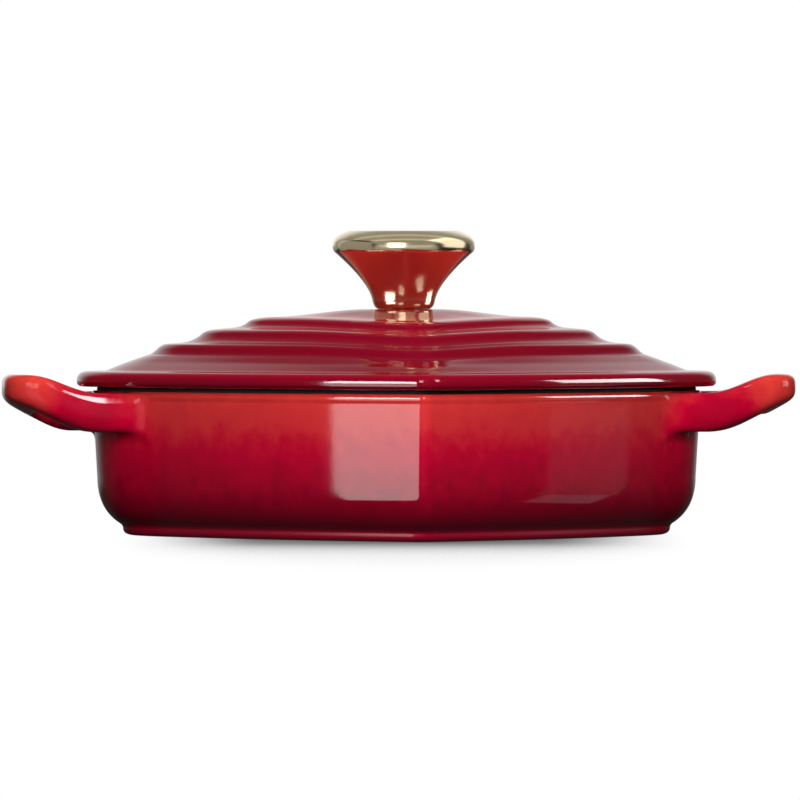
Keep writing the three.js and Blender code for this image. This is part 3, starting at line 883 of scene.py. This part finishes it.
def pot_enamel():
    look = Look("pot_red_enamel")
    place = look.split(look.place)
    height = place["Z"]
    cloud = look.math("SUBTRACT", look.noise(6, detail=5, roughness=0.6), 0.5)
    cloudy = look.smooth(height, POT_CLOUD_START * MM, POT_CLOUD_FULL * MM)
    drift = look.math("MULTIPLY", look.math("MULTIPLY", cloud, POT_CLOUD_DRIFT * MM), cloudy)
    from_middle = look.math("ABSOLUTE", look.math("SUBTRACT", place["X"], AXIS_X * MM))
    aside = look.math("DIVIDE", from_middle, HANDLE_END * MM)
    at_handles = look.smooth(height, ROOT_PATCH_BOTTOM * MM, HANDLE_ROOT_BOTTOM * MM)
    arm = look.math("MULTIPLY", look.ramp(aside, ARM_STOPS), at_handles)
    level = look.math("DIVIDE", look.math("ADD", height, drift), LIGHTEST_HEIGHT * MM)
    # The ramp paints shade on the belly's underside just above the foot.
    colour = look.ramp(look.math("SUBTRACT", level, arm), POT_RED_AND_SHADE_STOPS)
    rough = look.ramp(look.math("DIVIDE", height, ROUGH_FOOT_SCALE * MM), ROUGH_FOOT_STOPS)
    gloss = look.ramp(aside, GLOSS_STOPS)
    look.set(Base_Color=colour, Roughness=rough, IOR=ENAMEL_IOR, Specular_IOR_Level=gloss)
    look.bump(look.noise(PEEL_SIZE, PEEL_DETAIL), depth=0.006)
    return look.material


# The lid's red by height, from its lower edge to its top, and painted light from above: orange on top of the
# upper tiers, where their faces look up.
LID_CLOUD_DRIFT = 2
LID_RED_STOPS = [
    (0.0, (0.32, 0.001, 0.018)),
    (0.18, (0.28, 0.001, 0.016)),
    (0.27, (0.2, 0.001, 0.012)),
    (1.0, (0.26, 0.001, 0.016)),
]
PAINTED_LIGHT_ORANGE = (0.42, 0.022, 0.022, 1)
PAINTED_LIGHT_START = 62
PAINTED_LIGHT_FULL = 68
FLAT_START = 0.94
FLAT_FULL = 0.995


def lid_enamel():
    look = Look("lid_red_enamel")
    cloud = look.math("SUBTRACT", look.noise(9, detail=4, roughness=0.6), 0.5)
    drift = look.math("MULTIPLY", cloud, LID_CLOUD_DRIFT * MM)
    height = look.math("ADD", look.split(look.place)["Z"], drift)
    above_edge = look.math("SUBTRACT", height, LID_BOTTOM * MM)
    level = look.math("DIVIDE", above_edge, (LID_TOP - LID_BOTTOM) * MM)
    facing_up = look.split(look.facing)["Z"]
    # Painted light from above: the upper tiers' faces that look up are orange.
    upper = look.smooth(height, PAINTED_LIGHT_START * MM, PAINTED_LIGHT_FULL * MM)
    flat = look.math("MULTIPLY", look.smooth(facing_up, FLAT_START, FLAT_FULL), upper)
    colour = look.mix_colours(flat, look.ramp(level, LID_RED_STOPS), PAINTED_LIGHT_ORANGE)
    look.set(Base_Color=colour, Roughness=ENAMEL_ROUGHNESS, IOR=ENAMEL_IOR)
    look.bump(look.noise(PEEL_SIZE, PEEL_DETAIL), depth=0.004)
    return look.material


def black_land():
    look = Look("black_rim_enamel")
    speck = look.noise(0.8, detail=3, roughness=0.7)
    stops = [(0.4, (0.002, 0.002, 0.002)), (0.75, (0.016, 0.014, 0.014))]
    look.set(Base_Color=look.ramp(speck, stops), Roughness=0.7, Specular_IOR_Level=0.2)
    look.bump(speck, depth=0.1)
    return look.material


def sand_enamel():
    look = Look("sand_inside_enamel")
    speck = look.noise(2.5, detail=4, roughness=0.6)
    stops = [(0.35, (0.62, 0.52, 0.38)), (0.7, (0.7, 0.6, 0.46))]
    look.set(Base_Color=look.ramp(speck, stops), Roughness=0.16)
    look.bump(look.noise(5, detail=2), depth=0.04)
    return look.material


def gold_metal():
    look = Look("polished_gold")
    cloud = look.noise(6, detail=3)
    stops = [(0.35, (0.86, 0.72, 0.46)), (0.7, (0.9, 0.77, 0.5))]
    look.set(Base_Color=look.ramp(cloud, stops), Metallic=1.0, Roughness=0.17)
    look.bump(look.noise(3, detail=2), depth=0.01)
    return look.material


def steel_metal():
    look = Look("plain_steel")
    grain = look.noise(0.6, detail=4, roughness=0.6)
    stops = [(0.3, (0.5, 0.5, 0.48)), (0.7, (0.62, 0.62, 0.6))]
    look.set(Base_Color=look.ramp(grain, stops), Metallic=1.0, Roughness=0.32)
    look.bump(grain, depth=0.01)
    return look.material


# The camera: far away, level with the knob and turned slightly to the -X side.
CAMERA_DISTANCE = 3600
CAMERA_HEIGHT = 88
CAMERA_AZIMUTH = -4.4
AIM_HEIGHT = 45
AIM_ASIDE = -1.23
SENSOR = 36
LENS = 492


def make_camera():
    turn = math.radians(CAMERA_AZIMUTH)
    right = Vector((math.cos(turn), math.sin(turn), 0))
    back = Vector((math.sin(turn), -math.cos(turn), 0))
    axis = Vector((AXIS_X, AXIS_Y, 0))
    aim = axis + right * AIM_ASIDE + Vector((0, 0, AIM_HEIGHT))
    place = axis + back * CAMERA_DISTANCE + right * AIM_ASIDE + Vector((0, 0, CAMERA_HEIGHT))
    data = bpy.data.cameras.new("camera")
    data.sensor_width = SENSOR
    data.lens = LENS
    camera = bpy.data.objects.new("camera", data)
    camera.location = place * MM
    camera.rotation_mode = "QUATERNION"
    camera.rotation_quaternion = (aim - place).to_track_quat("-Z", "Y")
    bpy.context.scene.collection.objects.link(camera)
    bpy.context.scene.camera = camera


def group(name, *pieces):
    """Pieces that some of the lights are meant for."""
    collection = bpy.data.collections.new(name)
    for piece in pieces:
        collection.objects.link(piece)
    return collection


# Where the softboxes face, and how far off they stand. Their distances, widths and heights are in metres.
PANEL_AIM_HEIGHT = 40
NEAR = 1.2
FAR = 1.5


def add_panel(name, azimuth, elevation, distance, width, height, radiance, lit):
    """A softbox that faces the knob's axis and lights one group. Azimuth 0 is the front, and 90 is +X."""
    a = math.radians(azimuth)
    e = math.radians(elevation)
    back = Vector((math.sin(a) * math.cos(e), -math.cos(a) * math.cos(e), math.sin(e)))
    centre = Vector((AXIS_X, AXIS_Y, PANEL_AIM_HEIGHT)) * MM
    data = bpy.data.lights.new(name, "AREA")
    data.shape = "RECTANGLE"
    data.size = width
    data.size_y = height
    data.energy = radiance * math.pi * width * height
    panel = bpy.data.objects.new(name, data)
    panel.location = centre + back * distance
    panel.rotation_mode = "QUATERNION"
    panel.rotation_quaternion = (-back).to_track_quat("-Z", "Y")
    panel.visible_camera = False
    panel.light_linking.receiver_collection = lit
    bpy.context.scene.collection.objects.link(panel)
    return panel


def add_gloss(*values):
    """A softbox that is only mirrored in the gloss."""
    add_panel(*values).visible_diffuse = False


def add_fill(*values):
    """A softbox that only lights the enamel's colour."""
    add_panel(*values).visible_glossy = False


def make_lights(pot, lid, knob, fasteners):
    """Softboxes: azimuth, elevation, distance, width, height, radiance and the group that each lights."""
    enamel = group("enamelled_pieces", pot, lid)
    metal = group("metal_pieces", knob, *fasteners)
    pot_only = group("pot_only", pot)
    lid_only = group("lid_only", lid)
    add_gloss("left_panel", -56, 13, NEAR, 0.66, 0.34, 20, enamel)
    add_gloss("left_table", -56, -12.5, NEAR, 0.68, 0.53, 4.3, enamel)
    add_gloss("right_panel", 99, 11, NEAR, 0.47, 0.38, 12, enamel)
    add_gloss("right_table", 97, -20, NEAR, 0.3, 0.2, 0.4, enamel)
    add_gloss("right_veil", 97, -9, NEAR, 0.36, 0.26, 0.15, enamel)
    add_gloss("handle_strip", -9, 40, NEAR, 0.24, 0.9, 20, pot_only)
    add_gloss("high_left", -20, 30, NEAR, 0.32, 0.45, 9, lid_only)
    add_gloss("high_right", 58, 32, NEAR, 0.32, 0.45, 9, lid_only)
    add_gloss("knob_table", 0, -22, NEAR, 3, 0.9, 0.32, metal)
    add_gloss("knob_back", 180, 30, FAR, 4, 2.6, 0.22, metal)
    add_gloss("knob_side", -97, 0, NEAR, 2, 1.6, 0.26, metal)
    add_gloss("knob_glow", 0, 30, NEAR, 3, 2.8, 0.25, metal)
    add_gloss("knob_top", 0, 90, NEAR, 2.4, 1.4, 0.3, metal)
    add_gloss("knob_left", -16, 5, NEAR, 0.58, 0.9, 2.4, metal)
    add_gloss("knob_right", 88, 25, NEAR, 1.2, 1.7, 1.1, metal)
    add_fill("pot_back_fill", 180, 15, FAR, 1, 1, 7, pot_only)
    add_fill("pot_fill", -5, 10, FAR, 1, 1, 11, pot_only)
    add_fill("pot_side_fill", 70, 10, FAR, 0.8, 0.8, 1.8, pot_only)
    add_fill("lid_fill", 0, 45, FAR, 1, 1, 5, lid_only)
    add_fill("lid_low_fill", 0, 4, FAR, 1, 1, 3, lid_only)
    add_fill("top_fill", 0, 90, FAR, 1.2, 1.2, 3, enamel)


# How much of the white background the gloss sees behind the object, from below the horizon upwards.
WALL_STOPS = [
    (0.45, 0.0),
    (0.49, 0.35),
    (0.5, 0.8),
    (0.59, 0.75),
    (0.67, 0.6),
    (0.74, 0.4),
    (0.79, 0.1),
    (1, 0.0),
]

# That wall ends to the sides by these shares of X and to the front by these shares of Y.
WALL_SIDE_END = 0.62
WALL_SIDE_FULL = 0.25
WALL_FRONT_END = -0.1
WALL_BACK_FULL = 0.4
ROOM_STOPS = [(0.3, 0.02), (0.5, 0.05), (1, 0.03)]
WHITE = (1, 1, 1, 1)


def make_world():
    """White behind the object. The gloss sees that white as a narrow wall at the back of a dark room."""
    world = bpy.data.worlds.new("studio")
    bpy.context.scene.world = world
    world.use_nodes = True
    world.node_tree.nodes.clear()
    nodes = Nodes(world.node_tree)
    direction = nodes.split(nodes.add("ShaderNodeTexCoord").outputs["Generated"])
    level = nodes.math("MULTIPLY", nodes.math("ADD", direction["Z"], 1), 0.5)
    middle = nodes.smooth(nodes.math("ABSOLUTE", direction["X"]), WALL_SIDE_END, WALL_SIDE_FULL)
    back = nodes.smooth(direction["Y"], WALL_FRONT_END, WALL_BACK_FULL)
    behind = nodes.math("MULTIPLY", back, middle)
    wall = nodes.math("MULTIPLY", nodes.ramp(level, WALL_STOPS), behind)
    rays = nodes.add("ShaderNodeLightPath").outputs
    mirrored = nodes.math("ADD", rays["Is Glossy Ray"], rays["Is Transmission Ray"])
    white_share = nodes.math("MAXIMUM", rays["Is Camera Ray"], nodes.math("MULTIPLY", mirrored, wall))
    room = nodes.add("ShaderNodeBackground", {"Color": nodes.ramp(level, ROOM_STOPS)}).outputs[0]
    white = nodes.add("ShaderNodeBackground", {"Color": WHITE}).outputs[0]
    shown = nodes.add("ShaderNodeMixShader", {0: white_share, 1: room, 2: white}).outputs[0]
    nodes.add("ShaderNodeOutputWorld", {"Surface": shown})


# The floor, and the shade on it: how far and which way it looks for the object, and its rounded tongue.
FLOOR_SIZE = 6000
FLOOR_DROP = 0.05
SHADOW_REACH = 400
SHADOW_LEAN = (0, 0.85, 0.53)
SHADOW_FULL = 45
SHADOW_END = 95
SHADOW_STRETCH = 3.8
SHADOW_SAMPLES = 16
SHADOW_STOPS = [(0.25, 0.13), (0.6, 0.3), (0.83, 0.6), (0.97, 1.0)]
BLACK = (0, 0, 0, 1)


def floor_look():
    """White, and darker where the object closes it off. The shade is a rounded tongue towards the camera."""
    look = Look("white_floor")
    lean = look.add("ShaderNodeCombineXYZ", dict(enumerate(SHADOW_LEAN))).outputs[0]
    sockets = {"Distance": SHADOW_REACH * MM, "Normal": lean}
    open_sky = look.add("ShaderNodeAmbientOcclusion", sockets, samples=SHADOW_SAMPLES).outputs["AO"]
    shade = look.ramp(open_sky, SHADOW_STOPS)
    place = look.split(look.place)
    slant = math.tan(math.radians(CAMERA_AZIMUTH))
    aside = look.math("ADD", place["X"], look.math("MULTIPLY", place["Y"], slant))
    ahead = look.math("MAXIMUM", look.math("SUBTRACT", cad_low.y, place["Y"]), 0)
    tongue = look.add("ShaderNodeCombineXYZ", {0: aside, 1: look.math("DIVIDE", ahead, SHADOW_STRETCH)})
    far = look.add("ShaderNodeVectorMath", {0: tongue.outputs[0]}, operation="LENGTH").outputs["Value"]
    clear = look.smooth(far, SHADOW_FULL * MM, SHADOW_END * MM)
    colour = look.mix_colours(clear, shade, WHITE)
    look.set(Base_Color=BLACK, Specular_IOR_Level=0.0, Emission_Color=colour, Emission_Strength=1.0)
    return look.material


def make_floor():
    """A large plain floor that shines by itself. It neither lights the object nor shows in its gloss."""
    half = FLOOR_SIZE / 2 * MM
    corners = [(-half, -half, 0), (half, -half, 0), (half, half, 0), (-half, half, 0)]
    mesh = bpy.data.meshes.new("floor")
    mesh.from_pydata(corners, [], [(0, 1, 2, 3)])
    mesh.materials.append(floor_look())
    floor = bpy.data.objects.new("floor", mesh)
    floor.location.z = cad_low.z - FLOOR_DROP * MM
    floor.visible_glossy = False
    floor.visible_diffuse = False
    bpy.context.scene.collection.objects.link(floor)


pot_red = pot_enamel()
rim_black = black_land()
inside_sand = sand_enamel()
pot = make_pot([pot_red, rim_black, inside_sand])
lid = make_lid([lid_enamel(), rim_black, inside_sand])
knob = make_knob([gold_metal()])
steel = steel_metal()
fasteners = [make_screw([steel]), make_washer([steel])]
make_camera()
make_lights(pot, lid, knob, fasteners)
make_world()
make_floor()
bpy.context.scene.view_settings.view_transform = "Standard"
